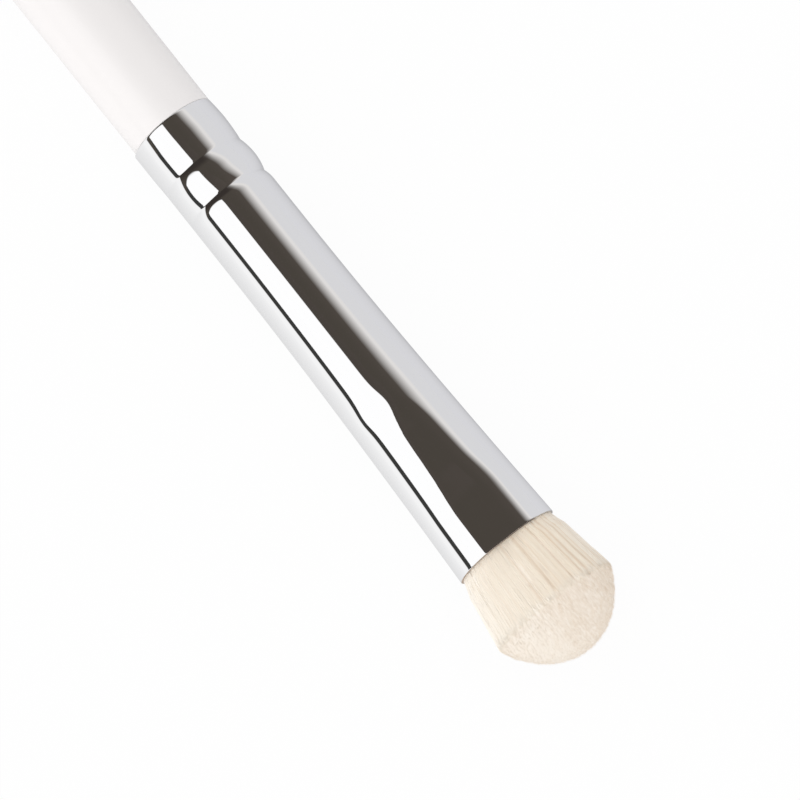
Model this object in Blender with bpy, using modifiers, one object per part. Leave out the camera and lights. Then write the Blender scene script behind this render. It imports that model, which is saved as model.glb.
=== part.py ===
"""Eye makeup brush, put together as its maker does it.

A turned and lacquered handle is glued into one end of a plated tube, the ferrule, and held there
by two rolled crimps. The other end of the ferrule is opened and pressed oval, with a flat along
each broad side, round a domed tuft of hair whose roots are tied with thread and set in resin.

Run it with blender --background --python part.py, or from Blender's text editor. Lengths are in
metres. Each piece is modelled upright, with Z along the brush: zero is the ferrule's end at the
handle, and the hair points up. An empty then lays the brush along X on its side, broad side up,
with the middle of its length over the origin.
"""

import math

import bmesh
import bpy
from mathutils import Matrix

# Lengths that show outside, one after another
HANDLE_LENGTH = 0.119
FERRULE_LENGTH = 0.045
HAIR_LENGTH = 0.011

# Handle
SHOULDER_STEP = 0.00015
SHOULDER_ROUNDING = 0.00012
SWELL_RISE = 0.00005
SWELL_DISTANCE = 0.026
TAIL_DIAMETER = 0.0047
TAIL_ROUNDING = 0.0021
TAIL_FLAT_DIAMETER = 0.0018
TAPER_POWER_SHARE = 1.4
TENON_LENGTH = 0.0155
TENON_CHAMFER = 0.0006

# Ferrule
TUBE_DIAMETER = 0.0078
TUBE_WALL = 0.00035
NOSING_DEPTH = 0.00012
NOSING_LENGTH = 0.0018
CRIMP_COUNT = 2
CRIMP_DISTANCE = 0.0043
CRIMP_PITCH = 0.0033
CRIMP_DEPTH = 0.00026
CRIMP_SHOULDER = 0.0011
BEAD_RISE = 0.00008
OPENED_LENGTH = 0.025
OPENING_POWER_SHARE = 1.45
MOUTH_WIDENING = 0.0017
PRESSED_LENGTH = 0.016
LAND_LENGTH = 0.0058
MOUTH_THINNING = 0.0012
FLAT_DEPTH = 0.00023

# Adhesive and resin inside the ferrule
GLUE_THICKNESS = 0.0003
GLUE_LENGTH = 0.0055
PLUG_LENGTH = 0.004
PLUG_HOLLOW = 0.0007

# Hair tuft
ROOT_DEPTH = 0.0155
TIED_LENGTH = 0.0042
GATHER_LENGTH = 0.0024
FACE_DEPTH = 0.0003
SPREAD_HEIGHT = 0.002
SPREAD_FLARE = 0.0002
CORNER_HEIGHT = 0.0065
CORNER_WIDTH_FLARE = 0.00098
CORNER_THICKNESS_FLARE = 0.00053
DOME_POWER_SHARE = 0.9
STRAND_SIDE = 0.00043
STRAND_GAP = 0.00007
STRAND_BITE = 0.0004
SPREAD_WIDTH_SHARE = 1.2
TIP_WIDTH_SHARE = 0.8

# Thread that ties the roots
THREAD_DIAMETER = 0.00035
THREAD_PITCH = 0.0008
THREAD_TURNS = 4

# Clearance between pieces that touch on the real brush
FIT_GAP = 0.0002

# Facets and steps of the round forms
FACETS = 40
OPENING_STEPS = 3
PRESS_STEPS = 5
LAND_STEPS = 2
TAPER_STEPS = 9
SWELL_STEPS = 3
TAIL_STEPS = 5
HOLLOW_STEPS = 3
POINTS_PER_TURN = 24
CLEAN_DISTANCE = 0.00001
SHARP_ANGLE = math.radians(35)

TUBE_RADIUS = TUBE_DIAMETER / 2
SHOULDER_RADIUS = TUBE_RADIUS - SHOULDER_STEP
SWELL_RADIUS = SHOULDER_RADIUS + SWELL_RISE
BORE_INSET = TUBE_WALL + FIT_GAP
FILLING_RADIUS = TUBE_RADIUS - BORE_INSET
TIED_RADIUS = FILLING_RADIUS - THREAD_DIAMETER - FIT_GAP
OPENING_START = FERRULE_LENGTH - OPENED_LENGTH
PRESS_START = FERRULE_LENGTH - PRESSED_LENGTH
LAND_START = FERRULE_LENGTH - LAND_LENGTH
GLUE_START = TENON_LENGTH - TENON_CHAMFER - GLUE_LENGTH
ROOT_END = FERRULE_LENGTH - ROOT_DEPTH
HAIR_FACE = FERRULE_LENGTH - FACE_DEPTH
STRAND_BASE = HAIR_FACE - STRAND_BITE
SPREAD_TOP = FERRULE_LENGTH + SPREAD_HEIGHT


def clear_scene():
    for obj in list(bpy.data.objects):
        bpy.data.objects.remove(obj, do_unlink=True)


def collection(name):
    made = bpy.data.collections.new(name)
    bpy.context.scene.collection.children.link(made)
    return made


def material(name, colour, roughness, metallic=0.0, coat=0.0):
    made = bpy.data.materials.new(name)
    made.use_nodes = True
    shader = made.node_tree.nodes["Principled BSDF"]
    shader.inputs["Base Color"].default_value = (*colour, 1.0)
    shader.inputs["Roughness"].default_value = roughness
    shader.inputs["Metallic"].default_value = metallic
    shader.inputs["Coat Weight"].default_value = coat
    return made


def between(low, high, steps):
    """The steps that follow low, evenly spaced, the last of them high."""
    return [low + (high - low) * step / steps for step in range(1, steps + 1)]


# The ferrule's outer form, which everything inside it follows


def crimp_depth(z):
    """How far the rolled crimps draw the tube in at this height: a V with rounded shoulders."""
    depth = 0.0
    for number in range(CRIMP_COUNT):
        away = z - (CRIMP_DISTANCE + number * CRIMP_PITCH)
        faces_bead = away < 0 if number == CRIMP_COUNT - 1 else away > 0
        reach = CRIMP_PITCH / 2 if faces_bead and CRIMP_COUNT > 1 else CRIMP_SHOULDER
        nearness = 1 - abs(away) / reach
        if nearness > 0:
            depth = max(depth, CRIMP_DEPTH * nearness**2)
    return depth


def bead_rise(z):
    """The bead between the crimps stands a little proud of the tube."""
    first = CRIMP_DISTANCE
    last = CRIMP_DISTANCE + (CRIMP_COUNT - 1) * CRIMP_PITCH
    if not first < z < last:
        return 0.0
    return BEAD_RISE * math.sin(math.pi * (z - first) / (last - first))


def tube_radius(z):
    """Outer radius of the ferrule before its mouth is pressed."""
    nosing = NOSING_DEPTH * max(0.0, 1 - z / NOSING_LENGTH) ** 2
    return TUBE_RADIUS - nosing - crimp_depth(z) + bead_rise(z)


def share_between(z, low, high):
    return min(max((z - low) / (high - low), 0.0), 1.0)


def pressed_section(z):
    """Half thickness and half width of the ferrule's oval skin here, and the height of its flats.

    The tube opens in width up to the mouth. Two jaws press it thinner over a shorter length, like a
    wedge and then a level land, and leave a flat along the middle of each broad side.
    """
    opened = share_between(z, OPENING_START, FERRULE_LENGTH) ** OPENING_POWER_SHARE
    pressed = share_between(z, PRESS_START, LAND_START)
    half_width = TUBE_RADIUS + MOUTH_WIDENING / 2 * opened
    half_thickness = TUBE_RADIUS - MOUTH_THINNING / 2 * pressed
    return half_thickness, half_width, half_thickness - FLAT_DEPTH * pressed


def pressed_place(x, y, z, skin_radius):
    """Where a point of a turned piece lies once it is pressed, if the piece had this radius."""
    half_thickness, half_width, flat = pressed_section(z)
    inset = TUBE_RADIUS - skin_radius
    x *= (half_thickness - inset) / skin_radius
    y *= (half_width - inset) / skin_radius
    return min(max(x, inset - flat), flat - inset), y, z


def press(mesh, skin_radius):
    """Presses a turned mesh as the ferrule is pressed, so that it keeps its depth in the tube."""
    for vertex in mesh.vertices:
        if vertex.co.z > OPENING_START:
            vertex.co = pressed_place(*vertex.co, skin_radius)


def crimp_heights():
    """Heights at which the tube's outline needs a ring, from its handle end to past the crimps."""
    heights = [0.0, *between(0.0, NOSING_LENGTH, 3), CRIMP_DISTANCE - CRIMP_SHOULDER]
    heights += between(CRIMP_DISTANCE - CRIMP_SHOULDER, CRIMP_DISTANCE, 3)
    for number in range(1, CRIMP_COUNT):
        last = CRIMP_DISTANCE + (number - 1) * CRIMP_PITCH
        heights += between(last, last + CRIMP_PITCH, 8)
    last = CRIMP_DISTANCE + (CRIMP_COUNT - 1) * CRIMP_PITCH
    return heights + between(last, last + CRIMP_SHOULDER, 3)


def pressed_heights(low, high):
    """Heights of the rings that a pressed piece needs between these two, both included."""
    rings = [OPENING_START, *between(OPENING_START, PRESS_START, OPENING_STEPS)]
    rings += between(PRESS_START, LAND_START, PRESS_STEPS)
    rings += between(LAND_START, FERRULE_LENGTH, LAND_STEPS)
    return [low, *[z for z in rings if low < z < high], high]


# Making solids


def link(name, data, finish):
    obj = bpy.data.objects.new(name, data)
    data.materials.append(finish)
    parts.objects.link(obj)
    obj.parent = brush
    return obj


def turned_mesh(name, outline, closed=False):
    """Turns an outline of (radius, height) points, listed down its outer side, round Z."""
    angle = math.pi / FACETS
    points = [(r * math.cos(angle), r * math.sin(angle), z) for r, z in outline]
    edges = [(number, number + 1) for number in range(len(points) - 1)]
    if closed:
        edges.append((len(points) - 1, 0))
    profile = bpy.data.meshes.new(name + "_outline")
    profile.from_pydata(points, edges, [])
    turning = bpy.data.objects.new(name + "_outline", profile)
    cutters.objects.link(turning)
    screw = turning.modifiers.new("turn", "SCREW")
    screw.axis = "Z"
    screw.angle = 2 * math.pi
    screw.steps = screw.render_steps = FACETS
    screw.use_merge_vertices = True
    screw.merge_threshold = CLEAN_DISTANCE
    bpy.context.view_layer.update()
    graph = bpy.context.evaluated_depsgraph_get()
    mesh = bpy.data.meshes.new_from_object(turning.evaluated_get(graph))
    mesh.name = name
    bpy.data.objects.remove(turning)
    bpy.data.meshes.remove(profile)
    return mesh


def round_shading(mesh):
    mesh.shade_smooth()
    mesh.set_sharp_from_angle(angle=SHARP_ANGLE)


# Handle


def tail_outline():
    """The rounded end of the handle, from its side to its small turned flat."""
    side = TAIL_DIAMETER / 2
    flat = TAIL_FLAT_DIAMETER / 2
    end = -FIT_GAP - HANDLE_LENGTH
    outline = []
    for angle in between(0.0, math.pi / 2, TAIL_STEPS):
        radius = flat + (side - flat) * math.cos(angle)
        outline.append((radius, end + TAIL_ROUNDING * (1 - math.sin(angle))))
    return outline + [(0.0, end)]


def body_outline():
    """The lacquered body: it swells just behind the ferrule, then tapers to the tail."""
    top = -FIT_GAP
    outline = [(SHOULDER_RADIUS - SHOULDER_ROUNDING, top), (SHOULDER_RADIUS, top - SHOULDER_ROUNDING)]
    for share in between(0.0, 1.0, SWELL_STEPS):
        rise = SWELL_RISE * math.sin(math.pi / 2 * share)
        outline.append((SHOULDER_RADIUS + rise, top - SWELL_DISTANCE * share))
    narrowing = SWELL_RADIUS - TAIL_DIAMETER / 2
    length = HANDLE_LENGTH - SWELL_DISTANCE - TAIL_ROUNDING
    for share in between(0.0, 1.0, TAPER_STEPS):
        radius = SWELL_RADIUS - narrowing * share**TAPER_POWER_SHARE
        outline.append((radius, top - SWELL_DISTANCE - length * share))
    return outline


def tenon_outline():
    """The bare wood inside the ferrule, which the crimps grip and the glue holds."""
    glued = FILLING_RADIUS - GLUE_THICKNESS - FIT_GAP
    step = GLUE_START - FIT_GAP
    outline = [(0.0, TENON_LENGTH), (glued - TENON_CHAMFER, TENON_LENGTH)]
    outline += [(glued, TENON_LENGTH - TENON_CHAMFER), (glued, step)]
    outline.append((tube_radius(step) - BORE_INSET, step))
    gripped = [z for z in crimp_heights() if z < step - FIT_GAP]
    for z in reversed(gripped):
        outline.append((tube_radius(z) - BORE_INSET, z))
    outline.append((tube_radius(0.0) - BORE_INSET, -FIT_GAP))
    return outline


def make_handle():
    finish = material("white_lacquer", (0.86, 0.85, 0.84), 0.18, coat=0.6)
    mesh = turned_mesh("handle", tenon_outline() + body_outline() + tail_outline())
    round_shading(mesh)
    return link("handle", mesh, finish)


# Ferrule


def make_ferrule():
    """The tube's skin is turned with its crimps, pressed at the mouth and given its wall."""
    finish = material("plated_metal", (0.82, 0.82, 0.83), 0.06, metallic=1.0)
    heights = crimp_heights() + pressed_heights(OPENING_START, FERRULE_LENGTH)
    skin = turned_mesh("ferrule", [(tube_radius(z), z) for z in reversed(heights)])
    press(skin, TUBE_RADIUS)
    round_shading(skin)
    ferrule = link("ferrule", skin, finish)
    wall = ferrule.modifiers.new("wall", "SOLIDIFY")
    wall.thickness = TUBE_WALL
    wall.offset = -1
    wall.use_even_offset = True
    return ferrule


# Adhesive and resin


def make_tenon_glue():
    """The adhesive that fills the step at the front of the tenon, ahead of the crimps."""
    finish = material("amber_adhesive", (0.62, 0.45, 0.24), 0.35)
    inside = FILLING_RADIUS - GLUE_THICKNESS
    bottom = GLUE_START
    top = GLUE_START + GLUE_LENGTH
    outline = [(FILLING_RADIUS, top), (FILLING_RADIUS, bottom), (inside, bottom), (inside, top)]
    mesh = turned_mesh("tenon_glue", outline, closed=True)
    round_shading(mesh)
    return link("tenon_glue", mesh, finish)


def make_resin_plug():
    """The cured resin behind the roots, drawn up the bore where it set."""
    finish = material("clear_resin", (0.74, 0.66, 0.45), 0.2)
    top = ROOT_END - FIT_GAP
    outline = [(0.0, top)]
    outline += [(FILLING_RADIUS, z) for z in reversed(pressed_heights(top - PLUG_LENGTH, top))]
    for angle in between(0.0, math.pi / 2, HOLLOW_STEPS):
        height = top - PLUG_LENGTH + PLUG_HOLLOW * math.sin(angle)
        outline.append((FILLING_RADIUS * math.cos(angle) ** 2, height))
    mesh = turned_mesh("resin_plug", outline)
    press(mesh, FILLING_RADIUS)
    round_shading(mesh)
    return link("resin_plug", mesh, finish)


# Hair tuft


def packed_hair_outline():
    """The hair inside the ferrule, too tight to show strands: tied at the roots, full in the bore."""
    tied_top = ROOT_END + TIED_LENGTH
    full_bottom = tied_top + GATHER_LENGTH
    outline = [(0.0, HAIR_FACE)]
    outline += [(FILLING_RADIUS, z) for z in reversed(pressed_heights(full_bottom, HAIR_FACE))]
    outline += [(TIED_RADIUS, z) for z in reversed(pressed_heights(ROOT_END, tied_top))]
    return outline + [(0.0, ROOT_END)]


def hair_envelope(z):
    """Half thickness and half width of the loose hair at this height, straight between its knees."""
    _, half_width, flat = pressed_section(HAIR_FACE)
    face = (flat - BORE_INSET, half_width - BORE_INSET)
    spread = (flat + SPREAD_FLARE, half_width + SPREAD_FLARE)
    corner = (flat + CORNER_THICKNESS_FLARE, half_width + CORNER_WIDTH_FLARE)
    if z <= SPREAD_TOP:
        low, high = face, spread
        share = (z - HAIR_FACE) / (SPREAD_TOP - HAIR_FACE)
    else:
        low, high = spread, corner
        share = (z - SPREAD_TOP) / (CORNER_HEIGHT - SPREAD_HEIGHT)
    return tuple(a + (b - a) * share for a, b in zip(low, high))


def centre_reach(z):
    """How far off the axis a strand's centre can lie at this height, in thickness and in width."""
    return tuple(half - STRAND_SIDE / math.sqrt(3) for half in hair_envelope(z))


def strand_centres():
    """Centres of the strands at their base, on a lattice of triangles that point up and down."""
    reach_x, reach_y = centre_reach(STRAND_BASE)
    row_height = STRAND_SIDE * math.sqrt(3) / 2
    rows = math.ceil(reach_x / row_height)
    columns = math.ceil(2 * reach_y / STRAND_SIDE)
    centres = []
    for row in range(-rows, rows):
        for column in range(-columns, columns + 1):
            points_up = (row + column) % 2 == 0
            rise = row_height / 3 if points_up else row_height * 2 / 3
            x = row * row_height + rise
            y = column * STRAND_SIDE / 2
            if math.hypot(x / reach_x, y / reach_y) < 1:
                centres.append((x, y, points_up))
    return centres


def move_strand(face, height, width_share):
    """Carries a strand's end face up along the spread of the hair, and makes it this much wider."""
    centre = face.calc_center_median()
    old = centre_reach(centre.z)
    new = centre_reach(height)
    for vertex in face.verts:
        for axis in (0, 1):
            aside = vertex.co[axis] - centre[axis]
            vertex.co[axis] = centre[axis] * new[axis] / old[axis] + aside * width_share
        vertex.co.z = height


def tip_height(centre):
    """How high a strand reaches: the tuft is a dome, cut off at a corner all round."""
    reach_x, reach_y = centre_reach(centre.z)
    outwards = math.hypot(centre.x / reach_x, centre.y / reach_y)
    dome = max(0.0, 1 - outwards**2) ** DOME_POWER_SHARE
    return FERRULE_LENGTH + CORNER_HEIGHT + (HAIR_LENGTH - CORNER_HEIGHT) * dome


def raised(mesh, faces, keep_old):
    """Extrudes these faces upwards, each by itself, and returns the new end faces."""
    around = {edge for face in faces for edge in face.edges}
    made = bmesh.ops.extrude_face_region(mesh, geom=[*faces, *around], use_keep_orig=keep_old)
    return [item for item in made["geom"] if isinstance(item, bmesh.types.BMFace)]


def strands_mesh():
    """Three-sided strands, raised from the hair's face to the spread and on to the dome."""
    mesh = bmesh.new()
    radius = (STRAND_SIDE / 2 / math.sqrt(3) - STRAND_GAP / 2) * 2
    for x, y, points_up in strand_centres():
        turn = -math.pi / 2 if points_up else math.pi / 2
        place = Matrix.Translation((x, y, STRAND_BASE)) @ Matrix.Rotation(turn, 4, "Z")
        bmesh.ops.create_circle(mesh, cap_ends=True, segments=3, radius=radius, matrix=place)
    ends = raised(mesh, list(mesh.faces), keep_old=True)
    for face in ends:
        move_strand(face, SPREAD_TOP, SPREAD_WIDTH_SHARE)
    ends = raised(mesh, ends, keep_old=False)
    for face in ends:
        move_strand(face, tip_height(face.calc_center_median()), TIP_WIDTH_SHARE)
    bmesh.ops.recalc_face_normals(mesh, faces=mesh.faces)
    made = bpy.data.meshes.new("strands")
    mesh.to_mesh(made)
    mesh.free()
    return made


def merge_fan(mesh, height):
    """Makes one face of the triangles that meet on the axis at this height."""
    editing = bmesh.new()
    editing.from_mesh(mesh)
    near = CLEAN_DISTANCE
    middle = [v for v in editing.verts if v.co.xy.length < near and abs(v.co.z - height) < near]
    bmesh.ops.dissolve_verts(editing, verts=middle)
    editing.to_mesh(mesh)
    editing.free()


def make_hair_tuft():
    finish = material("cream_hair", (0.85, 0.78, 0.66), 0.65)
    packed = turned_mesh("hair_tuft", packed_hair_outline())
    merge_fan(packed, HAIR_FACE)
    press(packed, FILLING_RADIUS)
    round_shading(packed)
    tuft = link("hair_tuft", packed, finish)
    strands = bpy.data.objects.new("strands", strands_mesh())
    cutters.objects.link(strands)
    strands.parent = brush
    strands.hide_render = True
    strands.display_type = "WIRE"
    joined = tuft.modifiers.new("strands", "BOOLEAN")
    joined.operation = "UNION"
    joined.solver = "EXACT"
    joined.object = strands
    return tuft


# Thread


def thread_points():
    """The thread's middle line: an even helix round the tied roots."""
    radius = FILLING_RADIUS - THREAD_DIAMETER / 2
    bottom = ROOT_END + (TIED_LENGTH - THREAD_TURNS * THREAD_PITCH) / 2
    points = []
    for step in range(THREAD_TURNS * POINTS_PER_TURN + 1):
        angle = 2 * math.pi * step / POINTS_PER_TURN
        z = bottom + THREAD_PITCH * step / POINTS_PER_TURN
        points.append(pressed_place(radius * math.cos(angle), radius * math.sin(angle), z, radius))
    return points


def print_thread_gap(points):
    """Prints the least gap between the thread's turns, measured on its points."""
    apart = POINTS_PER_TURN // 2
    least = min(
        math.dist(point, other)
        for number, point in enumerate(points)
        for other in points[number + apart :]
    )
    print("binding_thread: least gap between turns", round(least - THREAD_DIAMETER, 6), "m")


def make_binding_thread():
    finish = material("cotton_thread", (0.88, 0.86, 0.8), 0.8)
    points = thread_points()
    print_thread_gap(points)
    curve = bpy.data.curves.new("binding_thread", "CURVE")
    curve.dimensions = "3D"
    curve.bevel_depth = THREAD_DIAMETER / 2
    curve.bevel_resolution = 1
    curve.use_fill_caps = True
    spline = curve.splines.new("POLY")
    spline.points.add(len(points) - 1)
    for place, point in zip(spline.points, points):
        place.co = (*point, 1.0)
    thread = link("binding_thread", curve, finish)
    ends = thread.modifiers.new("ends", "WELD")
    ends.merge_threshold = CLEAN_DISTANCE
    return thread


clear_scene()
parts = collection("eye_makeup_brush")
cutters = collection("cutters")

# The empty that every piece hangs from lays the brush on its side, hair towards +X
brush = bpy.data.objects.new("brush", None)
parts.objects.link(brush)
brush.rotation_euler = (0.0, math.pi / 2, 0.0)
brush.location = (
    (HANDLE_LENGTH + FIT_GAP - FERRULE_LENGTH - HAIR_LENGTH) / 2,
    0.0,
    max(TUBE_RADIUS + BEAD_RISE, SWELL_RADIUS),
)

make_handle()
make_ferrule()
make_tenon_glue()
make_resin_plug()
make_hair_tuft()
make_binding_thread()
bpy.context.view_layer.update()
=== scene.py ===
"""Dresses the eye makeup brush: lacquered handle, plated ferrule and a domed tuft of fine hair.

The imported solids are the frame. The handle, the ferrule and the hair get finer pieces in the same
places, and the thread, resin and adhesive inside the ferrule keep their solids. Lengths are metres.
"""

import math
from types import SimpleNamespace

import bpy
import numpy as np
from mathutils import Matrix, Vector


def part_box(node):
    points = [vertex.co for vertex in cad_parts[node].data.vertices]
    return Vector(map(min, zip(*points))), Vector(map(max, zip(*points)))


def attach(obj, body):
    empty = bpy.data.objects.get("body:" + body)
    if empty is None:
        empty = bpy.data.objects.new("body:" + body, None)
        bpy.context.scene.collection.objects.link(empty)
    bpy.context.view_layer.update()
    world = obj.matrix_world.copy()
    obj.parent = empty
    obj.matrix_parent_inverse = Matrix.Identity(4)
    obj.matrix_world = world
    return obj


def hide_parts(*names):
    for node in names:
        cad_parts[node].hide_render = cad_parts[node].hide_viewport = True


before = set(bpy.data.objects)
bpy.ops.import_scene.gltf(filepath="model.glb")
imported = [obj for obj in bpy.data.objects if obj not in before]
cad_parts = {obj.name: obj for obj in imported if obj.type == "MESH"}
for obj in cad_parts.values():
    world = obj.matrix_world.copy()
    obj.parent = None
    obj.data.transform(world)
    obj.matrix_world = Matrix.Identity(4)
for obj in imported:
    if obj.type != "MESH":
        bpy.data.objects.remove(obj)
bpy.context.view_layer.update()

# Where the solids lie: the brush is on its side along X, hair towards +X
FERRULE_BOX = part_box("ferrule")
HANDLE_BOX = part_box("handle")
BACK = FERRULE_BOX[0][0]
AXIS_HEIGHT = (HANDLE_BOX[0][2] + HANDLE_BOX[1][2]) / 2
BUTT = HANDLE_BOX[0][0]
FERRULE_LENGTH = 0.045
MOUTH = BACK + FERRULE_LENGTH

# Used on more than one piece
FINE_STEP = 0.00005
SMALL_SHARE = 0.0001
SMOOTH_ANGLE = math.radians(40)

# Handle
HANDLE_SIDES = 128
SHOULDER_RADIUS = 0.00375
SHOULDER_ROUNDING = 0.00005
SHOULDER_RINGS = 4
SWELL_RADIUS = 0.0038
SWELL_DISTANCE = 0.0262
SWELL_RINGS = 12
TAPER_POWER = 1.4
TAPER_RINGS = 36
TAIL_RADIUS = 0.00235
TAIL_ROUNDING = 0.0021
TAIL_FLAT_RADIUS = 0.0009
TAIL_RINGS = 14
TENON_RADIUS = 0.00315
TENON_LENGTH = 0.0155
TENON_CHAMFER = 0.0006
TENON_FOOT = 0.0001
LACQUER_EDGE = 0.00001

# Ferrule: heights are measured from its handle end, and distances back from its mouth
FERRULE_SIDES = 192
TUBE_RADIUS = 0.0039
TUBE_WALL = 0.00035
RIM_RADIUS = 0.003755
RIM_POWER = 1.5
BAND_RADIUS = 0.00388
BAND_CREST = 0.0019
FIRST_CRIMP = 0.0043
SECOND_CRIMP = 0.0076
FIRST_CRIMP_RADIUS = 0.00374
SECOND_CRIMP_RADIUS = 0.0037
BEAD_RADIUS = 0.00398
CRIMP_SHOULDER = 0.0011
CRIMP_POWER = 2.2
CRIMPS_END = SECOND_CRIMP + CRIMP_SHOULDER
JAWS_REACH = 0.0203
RIM_BEVEL = 0.00006
RIM_BEVEL_STEPS = 3
RIM_BEVEL_ANGLE = math.radians(60)
CUT_EDGE_FACING = 0.95
# The heights that rings run up to, one after another, and how many reach each
FERRULE_RINGS = (
    (BAND_CREST, 11),
    (FIRST_CRIMP, 15),
    (SECOND_CRIMP, 30),
    (CRIMPS_END, 12),
    (FERRULE_LENGTH - JAWS_REACH, 15),
    (FERRULE_LENGTH, 75),
)
# The rollers pressed the crimps less on the -Y side: its radii, by height
EASED_RADII = (
    (0, 0.00396),
    (0.0025, 0.00395),
    (0.0043, 0.0039),
)
EASED_POWER = 8

# The oval that the jaws press, by the distance behind the mouth
HALF_WIDTHS = (
    (-0.0015, 0.0048),
    (0, 0.00474),
    (0.005, 0.00453),
    (0.01, 0.00435),
    (0.015, 0.00419),
    (0.02, 0.00405),
    (0.025, 0.00395),
    (0.031, 0.0039),
)
HALF_THICKNESSES = (
    (-0.0015, 0.00324),
    (0.0042, 0.00325),
    (0.0056, 0.00335),
    (0.0077, 0.00343),
    (0.0093, 0.00348),
    (0.0119, 0.00353),
    (0.0148, 0.00362),
    (0.0172, 0.00372),
    (0.0203, 0.003755),
    (0.0245, 0.00379),
    (0.029, 0.00385),
    (0.035, 0.0039),
)
# The upper side's flat lies between these two places across. The lower one is turned half round
FLAT_LOW_EDGES = (
    (-0.0015, -0.0017),
    (0.0009, -0.00168),
    (0.0044, -0.00161),
    (0.0054, -0.00149),
    (0.0076, -0.00121),
    (0.0118, -0.000865),
    (0.0135, -0.00037),
    (0.0151, 0.0003),
)
FLAT_HIGH_EDGES = (
    (-0.0015, 0.00229),
    (0.0009, 0.00231),
    (0.0044, 0.00236),
    (0.0054, 0.00225),
    (0.0076, 0.00173),
    (0.0118, 0.00134),
    (0.0135, 0.00098),
    (0.0151, 0.0003),
)
WIDTH_SOFTNESS = 0.0015
THICKNESS_SOFTNESS = 0.0005
EDGE_SOFTNESS = 0.0003
FLAT_FULL_WIDTH = 0.0035
FLAT_LOW_CORNER = 0.00004
FLAT_HIGH_CORNER = 0.00034
LEAST_HIGH_EDGE = 0.00035
LEAST_CORNER_SHARE = 0.02
BROAD_SIDE_SHARE = 0.2
DENT_DISTANCE = 0.0149
DENT_ACROSS = -0.0018
DENT_REACH = 0.0009
DENT_BREADTH = 0.001
DENT_DEPTH = 0.00014

# Tuft: its heights are measured from the mouth
HAIR_LENGTH = 0.011
CORNER_HEIGHT = 0.0065
DOME_POWER = 0.9
HAIR_START = -0.0012
HAIR_WIDTH_TABLE = (
    (-0.0012, 0.00434),
    (0, 0.00437),
    (0.0005, 0.00468),
    (0.00126, 0.0049),
    (0.0025, 0.0051),
    (0.0038, 0.00531),
    (0.005, 0.00551),
    (0.0063, 0.00573),
    (0.011, 0.0064),
)
HAIR_THICKNESS_TABLE = (
    (-0.0012, 0.00286),
    (0, 0.00287),
    (0.0005, 0.00302),
    (0.00126, 0.00312),
    (0.0025, 0.00321),
    (0.0038, 0.00332),
    (0.005, 0.00343),
    (0.0063, 0.00358),
    (0.011, 0.0041),
)
ROUNDED_BY = 0.0035

# Packed hair under the loose hair
PACKED_SIDES = 96
ROOT_DEPTH = 0.0155
TIED_RADIUS = 0.0028
TIED_LENGTH = 0.0042
TIED_SHOULDER = 0.0024
TIED_RINGS = 8
BORE_GAP = 0.00003
BORE_RINGS = 13
BODY_SHARE = 0.988
BODY_SHARE_AT_MOUTH = 0.984
BODY_RINGS = 26
DOME_COVER = 0.0002
DOME_RINGS = 24

# Loose hair: roots and clumps stand in a disc of radius 1 that takes the tuft's oval at each height
SEED = 11
HAIR_RADIUS = 0.00004
HAIR_CORNERS = (3 / 12, 7 / 12, 11 / 12)
MERGE_DISTANCE = 0.0000001
CLUMPS = 420
CLUMP_STRETCH = 0.4
LEAST_PULL = 0.3
SIDE_PULL = 0.7
LEAN = 0.005
LEAN_POWER = 1.5
WAVE = 0.00001
DARK_SHADES = (0, 0.35)
PALE_SHADES = (0.65, 1)
# Dark locks are partly tan hair and partly painted shadow lines between clumps
LOCKS = 300
DARK_LOCK_SPACING = 4
# Shares are places along a hair, thinning is its thickness there
LONG_HAIR = SimpleNamespace(
    length=None,
    shares=(0, 0.08, 0.2, 0.38, 0.6, 0.8, 0.94, 1.0),
    thinning=(0, 1, 1, 1, 1, 0.96, 0.84, 0),
    scatter=0.0005,
    pull=0.12,
    dark_share=0.3,
    lock_share=0.75,
)
TIP_HAIR = SimpleNamespace(
    length=0.0024,
    shares=(0, 0.3, 0.75, 1.0),
    thinning=(0, 1, 0.8, 0),
    scatter=0.00009,
    pull=0.02,
    dark_share=0.12,
    lock_share=0.92,
)
# How many hairs each layer has, and between which distances from the middle they stand
OUTER_LAYER = (1500, 0.99, 1.0)
TIP_LAYERS = (
    ("edge_tips", 1400, 0.975, 1.0),
    ("ring_tips", 6400, 0.6, 0.99),
    ("crown_tips", 3600, 0, 0.6),
)

# Photograph's view
TILT = math.radians(12.95)
ROLL_RIGHT = (0.6232, 0.7821)
PIXELS_PER_METRE = 12300
PICTURE = 800
CAMERA_DISTANCE = 1.0
CLIP_START = 0.01
SENSOR = 36.0
MOUTH_TO_CENTRE = (-0.008707, 0.011967)

# Colours of the pieces, each between two ends
LACQUER = ((0.903, 0.874, 0.866, 1), (0.928, 0.901, 0.893, 1))
WOOD = ((0.5, 0.33, 0.18, 1), (0.76, 0.58, 0.38, 1))
PLATING = ((0.89, 0.89, 0.895, 1), (0.91, 0.91, 0.915, 1))
# Painted shade on the ferrule's cut edge: dark toward +Y, lighter again at its +Y end
EDGE_PAINTED_SHADE = ((0.5, 0.4, 0.33, 1), (0.1, 0.07, 0.06, 1))
LIGHTER_EDGE = (0.6, 0.58, 0.56, 1)
PALE_HAIR = ((0.97, 0.895, 0.8, 1), (0.995, 0.94, 0.855, 1))
# Tan hairs and painted shade: the hair is darker and more streaked toward +Y
TAN_AND_SHADED_HAIR = ((0.86, 0.735, 0.6, 1), (0.995, 0.935, 0.84, 1))
# Painted light: the pale that lifts the shade where the long hairs end under the dome's corner
PAINTED_LIGHT_HAIR = (0.995, 0.945, 0.865, 1)
EVEN_TIPS = ((0.915, 0.84, 0.748, 1), (0.935, 0.866, 0.778, 1))
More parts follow.
